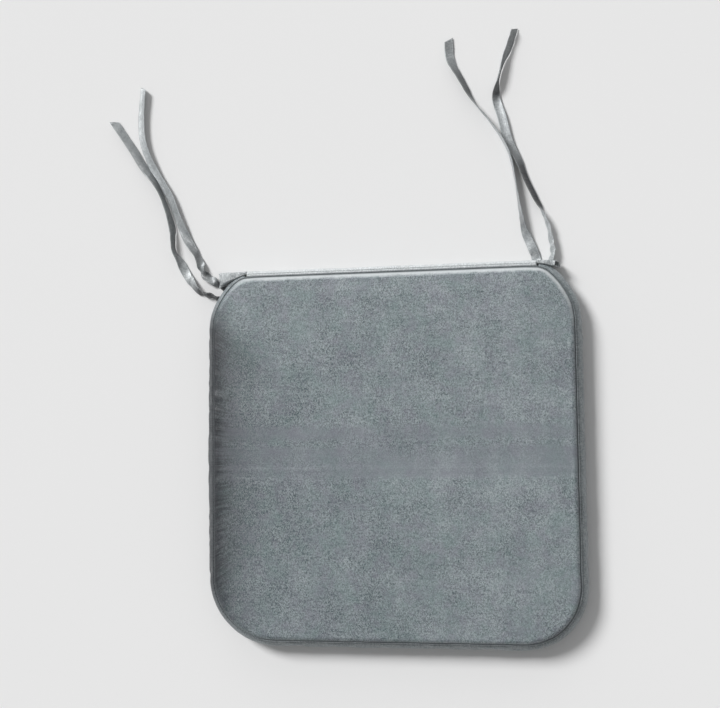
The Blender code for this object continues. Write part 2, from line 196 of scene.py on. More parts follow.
# Centre lines of the ribbons from the seam to the free end, as the frame has them
RIBBON_ROUTES = {
    "left_inner": (
        (-0.1793, 0.1793, 0.0022), (-0.1845, 0.1845, 0.0016), (-0.1915, 0.1900, 0.0010),
        (-0.2010, 0.1945, 0.0010), (-0.2095, 0.2020, 0.0012), (-0.2170, 0.2210, 0.0014),
        (-0.2290, 0.2410, 0.0018), (-0.2400, 0.2660, 0.0022), (-0.2500, 0.2910, 0.0022),
        (-0.2660, 0.3180, 0.0022), (-0.2795, 0.3500, 0.0016), (-0.2825, 0.3790, 0.0008),
        (-0.2800, 0.4150, 0.0008),
    ),
    "left_outer": (
        (-0.1869, 0.1695, 0.0022), (-0.1925, 0.1729, 0.0014), (-0.2010, 0.1765, 0.0008),
        (-0.2100, 0.1795, 0.0007), (-0.2170, 0.1840, 0.0007), (-0.2290, 0.2000, 0.0007),
        (-0.2370, 0.2170, 0.0007), (-0.2440, 0.2300, 0.0007), (-0.2460, 0.2560, 0.0007),
        (-0.2550, 0.2850, 0.0007), (-0.2660, 0.3070, 0.0007), (-0.2810, 0.3270, 0.0007),
        (-0.2940, 0.3480, 0.0007), (-0.3150, 0.3790, 0.0007),
    ),
    "right_inner": (
        (0.1531, 0.1936, 0.0022), (0.1545, 0.1995, 0.0014), (0.1540, 0.2070, 0.0008),
        (0.1510, 0.2150, 0.0007), (0.1430, 0.2340, 0.0007), (0.1390, 0.2540, 0.0007),
        (0.1345, 0.2880, 0.0007), (0.1290, 0.3160, 0.0007), (0.1190, 0.3380, 0.0007),
        (0.1070, 0.3560, 0.0007), (0.0920, 0.3760, 0.0007), (0.0780, 0.4030, 0.0007),
        (0.0680, 0.4230, 0.0007), (0.0660, 0.4460, 0.0007),
    ),
    "right_outer": (
        (0.1642, 0.1897, 0.0022), (0.1668, 0.1955, 0.0014), (0.1700, 0.2030, 0.0008),
        (0.1715, 0.2130, 0.0007), (0.1680, 0.2330, 0.0007), (0.1620, 0.2530, 0.0007),
        (0.1550, 0.2680, 0.0010), (0.1460, 0.2880, 0.0016), (0.1380, 0.3100, 0.0022),
        (0.1280, 0.3320, 0.0022), (0.1220, 0.3570, 0.0022), (0.1160, 0.3780, 0.0014),
        (0.1170, 0.3920, 0.0008), (0.1230, 0.4150, 0.0007), (0.1310, 0.4340, 0.0007),
        (0.1370, 0.4520, 0.0007),
    ),
}

# How each ribbon turns about its centre line: (share of its length, degrees from lying flat)
RIBBON_TURNS = {
    "left_inner": (
        (0, -5), (0.04, -42), (0.07, -35), (0.1, 40), (0.13, 5), (0.16, -48), (0.19, 30), (0.22, 52),
        (0.27, 22), (0.36, -12), (0.48, -24), (0.62, -20), (0.74, -30), (0.88, -34), (1, -30),
    ),
    "left_outer": (
        (0, -15), (0.05, -62), (0.12, -56), (0.18, -18), (0.24, 8), (0.29, 52), (0.33, 76), (0.4, 70),
        (0.44, 52), (0.52, 64), (0.61, 72), (0.69, 48), (0.78, 30), (1, 35),
    ),
    "right_inner": (
        (0, -5), (0.08, -8), (0.12, -20), (0.157, -40), (0.19, -57), (0.25, -72), (0.33, -83),
        (0.41, -88), (0.5, -90), (0.62, -91), (0.7, -96), (0.75, -110), (0.8, -124), (0.88, -134),
        (0.94, -158), (1, -164),
    ),
    "right_outer": (
        (0, -20), (0.04, -50), (0.11, -60), (0.18, -70), (0.24, -89), (0.27, -116), (0.33, -128),
        (0.42, -138), (0.51, -160), (0.58, -178), (0.67, -188), (0.72, -165), (0.76, -125),
        (0.8, -95), (0.86, -100), (0.93, -120), (1, -124),
    ),
}

# Painted shade along each ribbon, darker where it turns from the light: (share of its length, painted shade)
RIBBON_PAINTED_SHADE = {
    "left_inner": (
        (0, 1), (0.07, 0.95), (0.1, 0.35), (0.14, 0.9), (0.18, 0.2), (0.22, 0.75), (0.28, 0.6),
        (0.36, 0.35), (0.6, 0.25), (0.75, 0.1), (1, 0.15),
    ),
    "left_outer": (
        (0, 1), (0.12, 0.95), (0.17, 0.3), (0.26, 0.05), (0.31, 0.6), (0.38, 0.7), (0.5, 0.55),
        (0.62, 0.9), (0.72, 0.6), (0.85, 0.5), (1, 0.25),
    ),
    "right_inner": (
        (0, 0.3), (0.035, 0), (0.06, 0.6), (0.09, 0.1), (0.14, 0.2), (0.18, 0.7), (0.24, 0.4),
        (0.42, 0.3), (0.55, 0.05), (0.7, 0.5), (0.76, 0.95), (0.86, 0.8), (0.93, 0.3), (1, 0.45),
    ),
    "right_outer": (
        (0, 0.3), (0.1, 0.15), (0.24, 0.1), (0.265, 1), (0.42, 1), (0.52, 0.45), (0.62, 0.1),
        (0.71, 0.1), (0.74, 0.9), (0.8, 0.6), (0.9, 0.4), (1, 0.5),
    ),
}

# How far each ribbon arches across its width (below zero, it is hollow like a gutter)
RIBBON_ARCH = {"left_inner": -0.0011, "left_outer": 0.0009, "right_inner": 0.0004, "right_outer": 0.0011}

# ---- camera, light and floor

def look_from_above():
    """The photo's camera."""
    data = bpy.data.cameras.new("camera")
    data.lens = LENS_MM
    camera = bpy.data.objects.new("camera", data)
    camera.location = CAMERA_PLACE
    camera.rotation_euler = CAMERA_TURN
    bpy.context.scene.collection.objects.link(camera)
    bpy.context.scene.camera = camera


def light_softly():
    """One soft sun from the back left, and a pale sky that is brighter low behind the pad."""
    sun = bpy.data.lights.new("sun", "SUN")
    sun.energy = SUN_ENERGY
    sun.angle = math.radians(SUN_DEGREES)
    lamp = bpy.data.objects.new("sun", sun)
    lamp.rotation_euler = [math.radians(tilt) for tilt in SUN_TILT]
    bpy.context.scene.collection.objects.link(lamp)

    world = bpy.data.worlds.new("studio")
    world.use_nodes = True
    bpy.context.scene.world = world
    bpy.context.scene.view_settings.view_transform = "Standard"
    tree = world.node_tree
    background = tree.nodes["Background"]
    background.inputs["Color"].default_value = (1.0, 1.0, 1.0, 1.0)
    direction = stretched(tree, node(tree, "TexCoord").outputs["Generated"], PATCH_STRETCH)
    direction = node(tree, "VectorMath", {"operation": "NORMALIZE"}, {0: direction}).outputs["Vector"]
    towards = node(tree, "VectorMath", {"operation": "DOT_PRODUCT"}, {0: direction, 1: PATCH_TOWARDS})
    sky = spread(tree, towards.outputs["Value"], SKY_DIM, SKY_BRIGHT, *PATCH_EDGE, "SMOOTHSTEP")
    seen = node(tree, "LightPath").outputs["Is Camera Ray"]
    raised = maths(tree, "SUBTRACT", BACKDROP, sky)
    tree.links.new(maths(tree, "MULTIPLY_ADD", seen, raised, sky), background.inputs["Strength"])


def lay_floor():
    """A wide pale floor just under the pad."""
    corners = [(x * FLOOR_SIDE, y * FLOOR_SIDE, FLOOR_Z) for x, y in ((-1, -1), (1, -1), (1, 1), (-1, 1))]
    mesh_piece("floor", corners, [(0, 1, 2, 3)], floor_finish())


# ---- material nodes

def node(tree, kind, settings=None, inputs=None):
    """A shader node with its settings and its inputs, each a value or another node's output."""
    made = tree.nodes.new("ShaderNode" + kind)
    for key, value in (settings or {}).items():
        setattr(made, key, value)
    for key, value in (inputs or {}).items():
        if isinstance(value, bpy.types.NodeSocket):
            tree.links.new(value, made.inputs[key])
        else:
            made.inputs[key].default_value = value
    return made


def maths(tree, operation, first, second=0.0, third=0.0):
    """One step of arithmetic on values or nodes' outputs."""
    return node(tree, "Math", {"operation": operation}, {0: first, 1: second, 2: third}).outputs[0]


def plus(tree, first, second):
    return maths(tree, "ADD", first, second)


def times(tree, first, second):
    return maths(tree, "MULTIPLY", first, second)


def noise(tree, place, scale, detail=2.0, roughness=0.5):
    settings = {"Vector": place, "Scale": scale, "Detail": detail, "Roughness": roughness}
    return node(tree, "TexNoise", None, settings).outputs["Fac"]


def stretched(tree, place, factors):
    return node(tree, "VectorMath", {"operation": "MULTIPLY"}, {0: place, 1: factors}).outputs["Vector"]


def streaked(tree, place, factors, detail=2, roughness=0.6):
    """Noise drawn out into streaks, with its own fineness along each axis."""
    return noise(tree, stretched(tree, place, factors), 1.0, detail, roughness)


def spread(tree, value, low, high, start=0.3, stop=0.7, ease="LINEAR"):
    """A value's stretch from start to stop, turned into low to high."""
    made = node(tree, "MapRange", {"interpolation_type": ease},
                {"Value": value, "From Min": start, "From Max": stop, "To Min": low, "To Max": high})
    return made.outputs["Result"]


def mixed(tree, share, *colors):
    """Two colours mixed by a share, each of them a triple or a node's output."""
    first, second = (color if isinstance(color, bpy.types.NodeSocket) else (*color, 1.0) for color in colors)
    return node(tree, "Mix", {"data_type": "RGBA"}, {0: share, 6: first, 7: second}).outputs[2]


def attribute(tree, name):
    """A vector kept at each point of a mesh, and its three parts."""
    place = node(tree, "Attribute", {"attribute_name": name}).outputs["Vector"]
    return place, node(tree, "SeparateXYZ", None, {0: place}).outputs


def object_place(tree):
    return node(tree, "TexCoord").outputs["Object"]


def finish(name, **values):
    """A new material with plain values set on its shader, and its tree."""
    material = bpy.data.materials.new(name)
    material.use_nodes = True
    tree = material.node_tree
    for key, value in values.items():
        tree.nodes["Principled BSDF"].inputs[key.replace("_", " ")].default_value = value
    return material, tree


def surfaced(material, color, roughness=None, relief=None):
    """The material with what varies over it: colour, roughness, and relief (height, strength, depth)."""
    tree = material.node_tree
    shader = tree.nodes["Principled BSDF"]
    tree.links.new(color, shader.inputs["Base Color"])
    if roughness:
        tree.links.new(roughness, shader.inputs["Roughness"])
    if relief:
        height, strength, depth = relief
        bump = node(tree, "Bump", None, {"Strength": strength, "Distance": depth, "Height": height})
        tree.links.new(bump.outputs["Normal"], shader.inputs["Normal"])
    return material


# ---- materials

def flecks(tree, place):
    """Short random warp floats, in loose clumps, as a value of about 0 to 1."""
    cells = node(tree, "TexVoronoi", None,
                 {"Vector": stretched(tree, place, (1.0, 0.70, 1.0)), "Scale": 1400, "Randomness": 1.0})
    single = node(tree, "SeparateColor", None, {0: cells.outputs["Color"]}).outputs[0]
    clumps = spread(tree, noise(tree, place, 420, 3, 0.7), 0.0, 0.22)
    return maths(tree, "MULTIPLY_ADD", single, 0.78, clumps)


def thread_height(tree, across, along, pitch):
    """A satin weave: long warp floats crossed by fine weft, as a height from 0 to about 1."""
    turns = 2 * math.pi / pitch
    warp = maths(tree, "SINE", times(tree, across, turns))
    weft = maths(tree, "SINE", times(tree, along, turns / 1.6))
    crossed = times(tree, warp, weft)
    return maths(tree, "MULTIPLY_ADD", crossed, 0.25, maths(tree, "MULTIPLY_ADD", weft, 0.25, 0.5))


def painted_shade_mask(tree):
    """Painted shade from 0 to 1: darker near the seam in streaks across it, more where its strength is
    higher, and a dark painted line in the seam groove.
    """
    place, (_, distance, painted_strength) = attribute(tree, "seam")
    streaks = streaked(tree, place, (520, 40, 0.0), 3, 0.65)
    ragged = maths(tree, "MAXIMUM", maths(tree, "MULTIPLY_ADD", streaks, -0.010, distance), 0.0)
    near = maths(tree, "EXPONENT", times(tree, ragged, -1 / SHADE_REACH))
    near = times(tree, near, spread(tree, streaks, 0.88, 1.06, 0.35, 0.65))
    drawn = times(tree, near, spread(tree, painted_strength, 0.0, 1.0, 0.80, 1.35))
    # Painted shade: a dark line laid in the seam groove
    groove = spread(tree, distance, 0.62, 0.0, 0.0005, 0.0018)
    return maths(tree, "MAXIMUM", drawn, groove)


def painted_edge_highlight(tree):
    """Where a painted highlight lies along the back seam, strongest where the cloth gathers least, from 0 to
    1.
    """
    place, (_, distance, painted_strength) = attribute(tree, "seam")
    uneven = streaked(tree, place, (110, 160, 0.0), 3)
    away = maths(tree, "MULTIPLY_ADD", uneven, 0.0042, distance)
    fade = spread(tree, away, 1.0, 0.0, 0.0044, 0.0082, "SMOOTHSTEP")
    return times(tree, fade, spread(tree, painted_strength, 1.0, 0.0, 0.37, 0.72))


def line_mask(tree, value, middle, start, stop):
    """1 where a value is within start of the middle, fading to 0 where it is stop away."""
    off = maths(tree, "ABSOLUTE", maths(tree, "SUBTRACT", value, middle))
    return spread(tree, off, 1.0, 0.0, start, stop, "SMOOTHSTEP")


def panel_bands(tree, place, sideways, across):
    """Shade from uneven weft, a painted light gradient that is lighter towards the right, painted highlights
    along the fold lines, and the mask of the two smoother bands.
    """
    mask = 0.0
    for middle, half in SMOOTH_BANDS:
        mask = plus(tree, line_mask(tree, across, middle, half - 0.005, half + 0.004), mask)
    uneven = spread(tree, streaked(tree, place, (9, 22, 1.0)), 0.35, 1.0, 0.35, 0.6)
    mask = times(tree, mask, uneven)
    # Uneven weft rows, and a painted light gradient: the panel painted darker on its left and lighter on its
    # right
    shade = plus(tree, spread(tree, streaked(tree, place, (1.2, 26, 1.0), 2, 0.5), -0.08, 0.08),
                 spread(tree, sideways, -0.06, 0.13, -0.19, 0.19))
    # Painted highlights: light lines along the folds, broken along their length
    broken = spread(tree, streaked(tree, place, (30, 4, 1.0)), 0.0, 0.12)
    for middle in FOLD_LINES:
        shade = maths(tree, "MULTIPLY_ADD", line_mask(tree, across, middle, 0.0, 0.0013), broken, shade)
    return shade, mask


def woven_finish(name, dark, light, roughness, sheen, gloss=0.42, speckle=1.0, pitch=0.00042,
                 tints=(), metal=0.0, painted_shade=0.0, panel=False):
    """Woven cloth: tinted patches, a fine speckle, slub lines, and thread relief, with painted shade where
    asked and, on the top panel, painted light and highlights.
    """
    material, tree = finish(name, Metallic=metal, Sheen_Weight=sheen, Sheen_Roughness=0.35,
                            Specular_IOR_Level=gloss)
    place, (across, along, _) = attribute(tree, "weave")
    grain = flecks(tree, place)
    slubs = spread(tree, streaked(tree, place, (40, 520, 1.0)), -SLUBS * speckle, SLUBS * speckle)
    fleck = spread(tree, grain, -SPECKLE * speckle, SPECKLE * speckle, 0.15, 0.85)
    fleck = plus(tree, fleck, slubs)
    shade = spread(tree, streaked(tree, place, (26, 14, 1.0), 3), 0.36, 0.64)
    if panel:
        bands, smooth = panel_bands(tree, place, across, along)
        shade = plus(tree, shade, bands)
        fleck = times(tree, fleck, maths(tree, "MULTIPLY_ADD", smooth, -0.55, 1.0))
    color = mixed(tree, plus(tree, shade, fleck), dark, light)
    for index, tint in enumerate(tints):
        moved = node(tree, "VectorMath", {"operation": "ADD"}, {0: place, 1: (3.1 * index, 1.7, 0.4)})
        drift = noise(tree, moved.outputs["Vector"], 34 + 40 * index, 3, 0.7)
        color = mixed(tree, spread(tree, drift, 0.0, 0.36, 0.44, 0.66), color, tint)
    if panel:
        color = mixed(tree, times(tree, smooth, 0.28), color, CREASE_TINT)
        # Painted highlight: a light band just inside the back seam
        color = mixed(tree, times(tree, painted_edge_highlight(tree), 0.72), color, PAINTED_HIGHLIGHT_COLOR)
    # Painted shade: the cloth darkened near the seams and along the listed stretches of the ribbons
    if painted_shade:
        color = mixed(tree, times(tree, painted_shade_mask(tree), painted_shade), color, PAINTED_SHADE_COLOR)
    height = maths(tree, "MULTIPLY_ADD", grain, 0.9, thread_height(tree, across, along, pitch))
    return surfaced(material, color, spread(tree, grain, roughness - 0.07, roughness + 0.07),
                    (height, 0.5, 0.00012))


def thread_finish(name, color):
    """Twisted sewing thread: slanted plies."""
    material, tree = finish(name, Roughness=0.5)
    wave = node(tree, "TexWave", {"bands_direction": "DIAGONAL"},
                {"Vector": object_place(tree), "Scale": 900, "Distortion": 1.5, "Detail": 1.0})
    plies = wave.outputs["Fac"]
    dark = [0.7 * part for part in color]
    return surfaced(material, mixed(tree, plies, dark, color), relief=(plies, 0.6, 0.0001))


def foam_finish():
    """Open-cell foam: fine pores on a cream ground."""
    material, tree = finish("foam_finish", Roughness=0.95)
    cells = node(tree, "TexVoronoi", None, {"Vector": object_place(tree), "Scale": 900, "Randomness": 1.0})
    shade = spread(tree, cells.outputs["Distance"], 0.0, 1.0, 0.1, 0.7)
    color = mixed(tree, shade, (0.50, 0.45, 0.32), (0.80, 0.75, 0.60))
    return surfaced(material, color, relief=(shade, 0.8, 0.0004))


def nylon_finish():
    """Mottled nylon for the zip's coils."""
    material, tree = finish("coil_finish")
    mottle = noise(tree, object_place(tree), 1400, 2, 0.6)
    color = mixed(tree, mottle, (0.12, 0.145, 0.16), (0.20, 0.235, 0.25))
    return surfaced(material, color, spread(tree, mottle, 0.30, 0.48))


def metal_finish():
    """Plated zinc with handling wear: duller and warmer where the plating has rubbed."""
    material, tree = finish("zip_metal_finish", Metallic=1.0)
    place = object_place(tree)
    wear = noise(tree, place, 420, 4, 0.65)
    scratches = streaked(tree, place, (300, 2500, 2500))
    color = mixed(tree, spread(tree, wear, 0.0, 1.0, 0.4, 0.65), (0.62, 0.64, 0.66), (0.40, 0.39, 0.37))
    return surfaced(material, color, spread(tree, wear, 0.24, 0.46), (scratches, 0.25, 0.00005))


def floor_finish():
    """A pale floor, very faintly mottled."""
    material, tree = finish("floor_finish", Roughness=0.9)
    mottle = noise(tree, object_place(tree), 3.0)
    return surfaced(material, mixed(tree, mottle, (0.800, 0.800, 0.800), (0.812, 0.812, 0.812)))


# ---- points and meshes

def unit(vectors):
    """The same directions at length one."""
    return vectors / np.maximum(np.linalg.norm(vectors, axis=-1, keepdims=True), 1e-12)


def stacked(*parts):
    """Points from their parts, each repeated where the others run on."""
    return np.stack(np.broadcast_arrays(*parts), axis=-1)


def read_along(line, at, places):
    """A line of points read at the given places, where at says how far along each point is."""
    return np.stack([np.interp(places, at, part) for part in line.T], axis=1)


def lengths_along(points):
    steps = np.linalg.norm(np.diff(points, axis=0), axis=1)
    return np.concatenate([[0], np.cumsum(steps)])


def cubic(a, b, c, d, t):
    """The Catmull-Rom curve through four values, a share t of the way from b to c."""
    return 0.5 * (2 * b + (c - a) * t + (2 * a - 5 * b + 4 * c - d) * t ** 2
                  + (3 * b - a - 3 * c + d) * t ** 3)


def smooth_curve(points, spacing):
    """Evenly spaced points on a Catmull-Rom curve through the given ones, and their distances."""
    points = np.asarray(points, float)
    ends = np.vstack([2 * points[0] - points[1], points, 2 * points[-1] - points[-2]])
    t = np.linspace(0, 1, 40, endpoint=False)[:, None]
    spans = [cubic(*four, t) for four in zip(ends, ends[1:], ends[2:], ends[3:])]
    fine = np.vstack(spans + [points[-1:]])
    along = lengths_along(fine)
    steps = np.linspace(0, along[-1], max(2, round(along[-1] / spacing) + 1))
    return read_along(fine, along, steps), steps


def ripple(along, total, wavelength, seed):
    """Smooth noise of about one wavelength along a closed line of the given length, from -1 to 1."""
    count = max(3, round(total / wavelength))
    heights = np.random.RandomState(seed).uniform(-1, 1, count)
    at = np.asarray(along) / total * count
    base = np.floor(at).astype(int)
    return cubic(*(heights[(base + shift) % count] for shift in (-1, 0, 1, 2)), at - base)


def mesh_piece(name, points, faces, material, weave=None, seam=None):
    """A piece from points and faces. Weave gives each point's place on its cloth, in metres, and
    seam its place along the seam, its distance from it, and the strength of its painted shade and painted
    highlight, which on the cover is how strongly the cloth gathers there."""
    data = bpy.data.meshes.new(name)
    data.from_pydata([tuple(point) for point in points], [], [tuple(face) for face in faces])
    data.materials.append(material)
    for label, values in (("weave", weave), ("seam", seam)):
        if values is not None:
            layer = data.attributes.new(label, "FLOAT_VECTOR", "POINT")
            layer.data.foreach_set("vector", np.asarray(values, dtype=np.float32).ravel())
    data.shade_smooth()
    data.validate()
    piece = bpy.data.objects.new(name, data)
    bpy.context.scene.collection.objects.link(piece)
    return piece


def strip_faces(rows, columns, around=False, joined=False):
    """Quads over a rows by columns array of points; around closes each row, joined the column."""
    row = np.arange(rows if joined else rows - 1)
    column = np.arange(columns if around else columns - 1)
    row, column = np.meshgrid(row, column, indexing="ij")
    below = (row + 1) % rows
    beside = (column + 1) % columns
    quads = stacked(row * columns + column, row * columns + beside,
                    below * columns + beside, below * columns + column)
    return quads.reshape(-1, 4)


def ring_faces(above, below):
    """Quads between two closed loops of point numbers."""
    return stacked(above, np.roll(above, -1), np.roll(below, -1), below)


def back_to_back(side, outward_up=True):
    """Faces of two square grids of points that look away from each other."""
    first = strip_faces(side, side)
    if outward_up:
        first = first[:, ::-1]
    return np.concatenate([first, first[:, ::-1] + side * side])


def layered_piece(name, outer, inner, material, outward_up=True, **attributes):
    """A closed piece between two grids of points, joined round their rims."""
    side = outer.shape[0]
    edges = (rim(side - 1), rim(side - 1) + side * side)
    hem = ring_faces(*edges) if outward_up else ring_faces(*edges[::-1])
    faces = np.concatenate([back_to_back(side, outward_up), hem]).tolist()
    points = np.concatenate([outer.reshape(-1, 3), inner.reshape(-1, 3)])
    return mesh_piece(name, points, faces, material, **attributes)


def swept_piece(name, rings, material, weave=None, joined=False, seam=None):
    """A closed body through rings of points, capped at its ends or joined to itself."""
    rows, columns = rings.shape[:2]
    faces = strip_faces(rows, columns, around=True, joined=joined).tolist()
    if not joined:
        first = list(range(columns))
        last = [(rows - 1) * columns + i for i in range(columns)]
        faces += [first[::-1], last]
    return mesh_piece(name, rings.reshape(-1, 3), faces, material, weave, seam)


def take_place(piece, node_name):
    """Let a piece ride the cushion in the place of one of the frame's nodes."""
    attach(piece, "cushion")
    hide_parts(node_name)


# ---- the seam outline

def corner_path(side, back):
    """Points of one corner of the seam outline, from the back or front edge to the side edge."""
    sign = 1 if side == "right" else -1
    if back:
        path, _ = smooth_curve(np.array(BACK_CORNER) * MM, 0.5 * MM)
        return stacked(sign * (SEAM_HALF - path[:, 0]), SEAM_HALF - path[:, 1])
    radius = FRONT_RADII[side]
    turn = np.linspace(0, math.pi / 2, 120)
    return stacked(sign * (SEAM_HALF - radius * (1 - np.sin(turn))), -SEAM_HALF + radius * (1 - np.cos(turn)))


def blurred_loop(loop):
    """A closed line of points with its joins between arcs and straights softened."""
    kernel = np.exp(-0.5 * (3.0 * np.arange(-OUTLINE_BLUR, OUTLINE_BLUR + 1) / OUTLINE_BLUR) ** 2)
    kernel /= kernel.sum()
    padded = np.vstack([loop[-OUTLINE_BLUR:], loop, loop[:OUTLINE_BLUR]])
    return np.stack([np.convolve(part, kernel, "valid") for part in padded.T], axis=1)


def seam_outline():
    """Points round the seam, clockwise from the back right corner in four equal counts, with their
    outward directions and their distances along it. The first point comes again as the last."""
    loop = np.vstack([corner_path("right", True), corner_path("right", False)[::-1],
                      corner_path("left", False), corner_path("left", True)[::-1]])
    loop = np.vstack([loop, loop[:1]])
    along = lengths_along(loop)
    loop = blurred_loop(read_along(loop, along, np.arange(0, along[-1], OUTLINE_STEP)))
    corners = [int(np.argmax(loop @ np.array(way))) for way in ((1, 1), (1, -1), (-1, -1), (-1, 1))]
    loop = np.roll(loop, -corners[0], axis=0)
    corners = [(corner - corners[0]) % len(loop) for corner in corners] + [len(loop)]
    loop = np.vstack([loop, loop[:1]])
    places = np.concatenate([np.linspace(start, stop, OUTLINE_SAMPLES, endpoint=False)
                             for start, stop in zip(corners, corners[1:])])
    points = read_along(loop, np.arange(len(loop)), places)
    ahead = unit(np.roll(points, -1, axis=0) - np.roll(points, 1, axis=0))
    outward = stacked(-ahead[:, 1], ahead[:, 0])
    at = np.append(places, len(loop) - 1) * OUTLINE_STEP
    return np.vstack([points, points[:1]]), np.vstack([outward, outward[:1]]), at


OUTLINE, OUTWARD, SEAM_AT = seam_outline()
SEAM_LENGTH = SEAM_AT[-1]


def at_turn(values, turn):
    """Outline values at places given as 0 to 4 round the outline."""
    places = np.asarray(turn) * OUTLINE_SAMPLES
    low = np.floor(places).astype(int) % (len(values) - 1)
    share = places - np.floor(places)
    if values.ndim > 1:
        share = share[..., None]
    return values[low] * (1 - share) + values[low + 1] * share


def all_round(steps):
    """Evenly spaced places round the outline, with the given number to each side."""
    return np.arange(4 * steps) / steps


def gather_and_painted_shade(turn):
    """How strongly the cloth gathers at the seam: most on the left, least along the back. It also sets the
    strength of the painted shade and painted highlight there.
    """
    return np.interp(turn, *zip(*GATHERS_AND_PAINTED_SHADE))


def gathers(turn, inset, seed):
    """Height of the puckers that run in from the seam and merge into fewer, softer ones."""
    at = at_turn(SEAM_AT, turn)
    height = sum(size * ripple(at, SEAM_LENGTH, wavelength, seed + index) * np.exp(-(inset / reach) ** power)
                 for index, (size, wavelength, reach, power) in enumerate(PUCKERS))
    held = 1 - np.exp(-inset / (1.2 * MM))
    patchy = 0.8 + 0.4 * ripple(at, SEAM_LENGTH, 60 * MM, seed + len(PUCKERS))
    return height * held * patchy * gather_and_painted_shade(turn)


def panel_grid(steps):
    """Ring share and place round the outline for each point of a square grid."""
    half = steps // 2
    i, j = np.meshgrid(np.arange(-half, half + 1), np.arange(-half, half + 1), indexing="ij")
    ring = np.maximum(np.abs(i), np.abs(j))
    span = 2.0 * np.maximum(ring, 1)
    sides = (i == ring, j == -ring, i == -ring, j == ring)
    turn = np.select(sides, (ring - j, span + ring - i, 2 * span + ring + j, 3 * span + ring + i)) / span
    share = ring / half
    return share + 0.5 * share * (1 - share), turn % 4


def rim(steps):
    """Grid numbers of the outermost ring, in the order of the outline."""
    side = np.arange(steps)
    rows = np.concatenate([np.full(steps, steps), steps - side, np.zeros(steps, int), side])
    columns = np.concatenate([steps - side, np.zeros(steps, int), side, np.full(steps, steps)])
    return rows * (steps + 1) + columns


def rounded(share):
    """The rise of a quarter circle at a share of its width."""
    return np.sqrt(1 - (1 - np.clip(share, 0, 1)) ** 2)


def panel_shape(steps, top):
    """Points of a panel before wrinkles, with each one's distance in from the seam and its turn."""
    share, turn = panel_grid(steps)
    edge = at_turn(OUTLINE, turn)
    inset = (1 - share) * (edge * at_turn(OUTWARD, turn)).sum(axis=-1)
    if top:
        bend = 1.2 + 0.9 * np.clip((gather_and_painted_shade(turn) - 0.35) / 0.4, 0, 1)
        width = SLOPE_WIDTH * (1 + 0.13 * ripple(at_turn(SEAM_AT, turn), SEAM_LENGTH, 8 * MM, 7))
        slope = 1 - (1 - np.clip(inset / width, 0, 1)) ** bend
        height = TOP_SEAM_Z + ROLL_RISE * rounded(inset / ROLL_WIDTH) + SLOPE_RISE * slope
        crown = CROWN_Z - TOP_SEAM_Z - ROLL_RISE - SLOPE_RISE
        height = height + crown * (1 - np.exp(-inset / CROWN_REACH))
    else:
        height = BASE_SEAM_Z * (1 - rounded(inset / BASE_ROLL_WIDTH))
    return stacked(edge[..., 0] * share, edge[..., 1] * share, height), inset, turn


def band_shape(rows, turns):
    """Points of the bulging band, from the top seam down, at the given places round the outline."""
    t = np.linspace(0, 1, rows + 1)[:, None]
    swell = 1 - np.abs(2 * t - 1) ** 2.4
    bow = LEFT_BOW * np.exp(-((turns - LEFT_BOW_TURN) / LEFT_BOW_SPREAD) ** 2)
    out = BAND_START + (BAND_BULGE + bow - BAND_START) * swell
    low = BASE_SEAM_Z + RIDGE_RADIUS + RIDGE_GAP
    high = TOP_SEAM_Z - RIDGE_RADIUS - RIDGE_GAP
    flat = at_turn(OUTLINE, turns) + at_turn(OUTWARD, turns) * out[..., None]
    return stacked(flat[..., 0], flat[..., 1], high + (low - high) * t)


# ---- cloth simulation

def coarse_cover():
    """The whole cover as one coarse mesh, held along the top seam and over its base."""
    top, _, _ = panel_shape(SIM_STEPS, True)
    base, _, _ = panel_shape(SIM_STEPS, False)
    turns = all_round(SIM_STEPS)
    band = band_shape(SIM_BAND_ROWS, turns)[1:-1]
    size = (SIM_STEPS + 1) ** 2
    points = np.vstack([part.reshape(-1, 3) for part in (top, base, band)])
    edge = rim(SIM_STEPS)
    between = 2 * size + np.arange((SIM_BAND_ROWS - 1) * len(turns)).reshape(-1, len(turns))
    loops = [edge, *between, edge + size]
    faces = [back_to_back(SIM_STEPS + 1)] + [ring_faces(*pair) for pair in zip(loops, loops[1:])]
    body = mesh_piece("cover_simulation", points, np.concatenate(faces).tolist(),
                      bpy.data.materials.new("unseen"))
    held = body.vertex_groups.new(name="held")
    held.add(edge.tolist() + list(range(size, 2 * size)), 1.0, "REPLACE")
    return body, points


def simulate_cover():
    """How far pressure moves the top panel and the band, on coarse grids, as two arrays of moves."""
    body, points = coarse_cover()
    cloth = body.modifiers.new("cloth", "CLOTH")
    for key, value in SIM_CLOTH.items():
        setattr(cloth.settings, key, value)
    cloth.settings.effector_weights.gravity = 0
    cloth.collision_settings.use_collision = False
    cloth.point_cache.frame_start = 1
    cloth.point_cache.frame_end = SIM_FRAMES
    scene = bpy.context.scene
    for number in range(1, SIM_FRAMES + 1):
        scene.frame_set(number)
    settled = body.evaluated_get(bpy.context.evaluated_depsgraph_get())
    moved = np.empty(points.size)
    settled.to_mesh().vertices.foreach_get("co", moved)
    settled.to_mesh_clear()
    scene.frame_set(1)
    bpy.data.objects.remove(body, do_unlink=True)

    moves = moved.reshape(-1, 3) - points
    length = np.linalg.norm(moves, axis=1)[:, None]
    moves *= SIM_LIMIT * np.tanh(length / SIM_LIMIT) / np.maximum(length, 1e-9)
    size = (SIM_STEPS + 1) ** 2
    on_band = np.zeros((SIM_BAND_ROWS + 1, 4 * SIM_STEPS, 3))
    on_band[1:-1] = moves[2 * size:].reshape(SIM_BAND_ROWS - 1, -1, 3)
    return moves[:size].reshape(SIM_STEPS + 1, SIM_STEPS + 1, 3), on_band


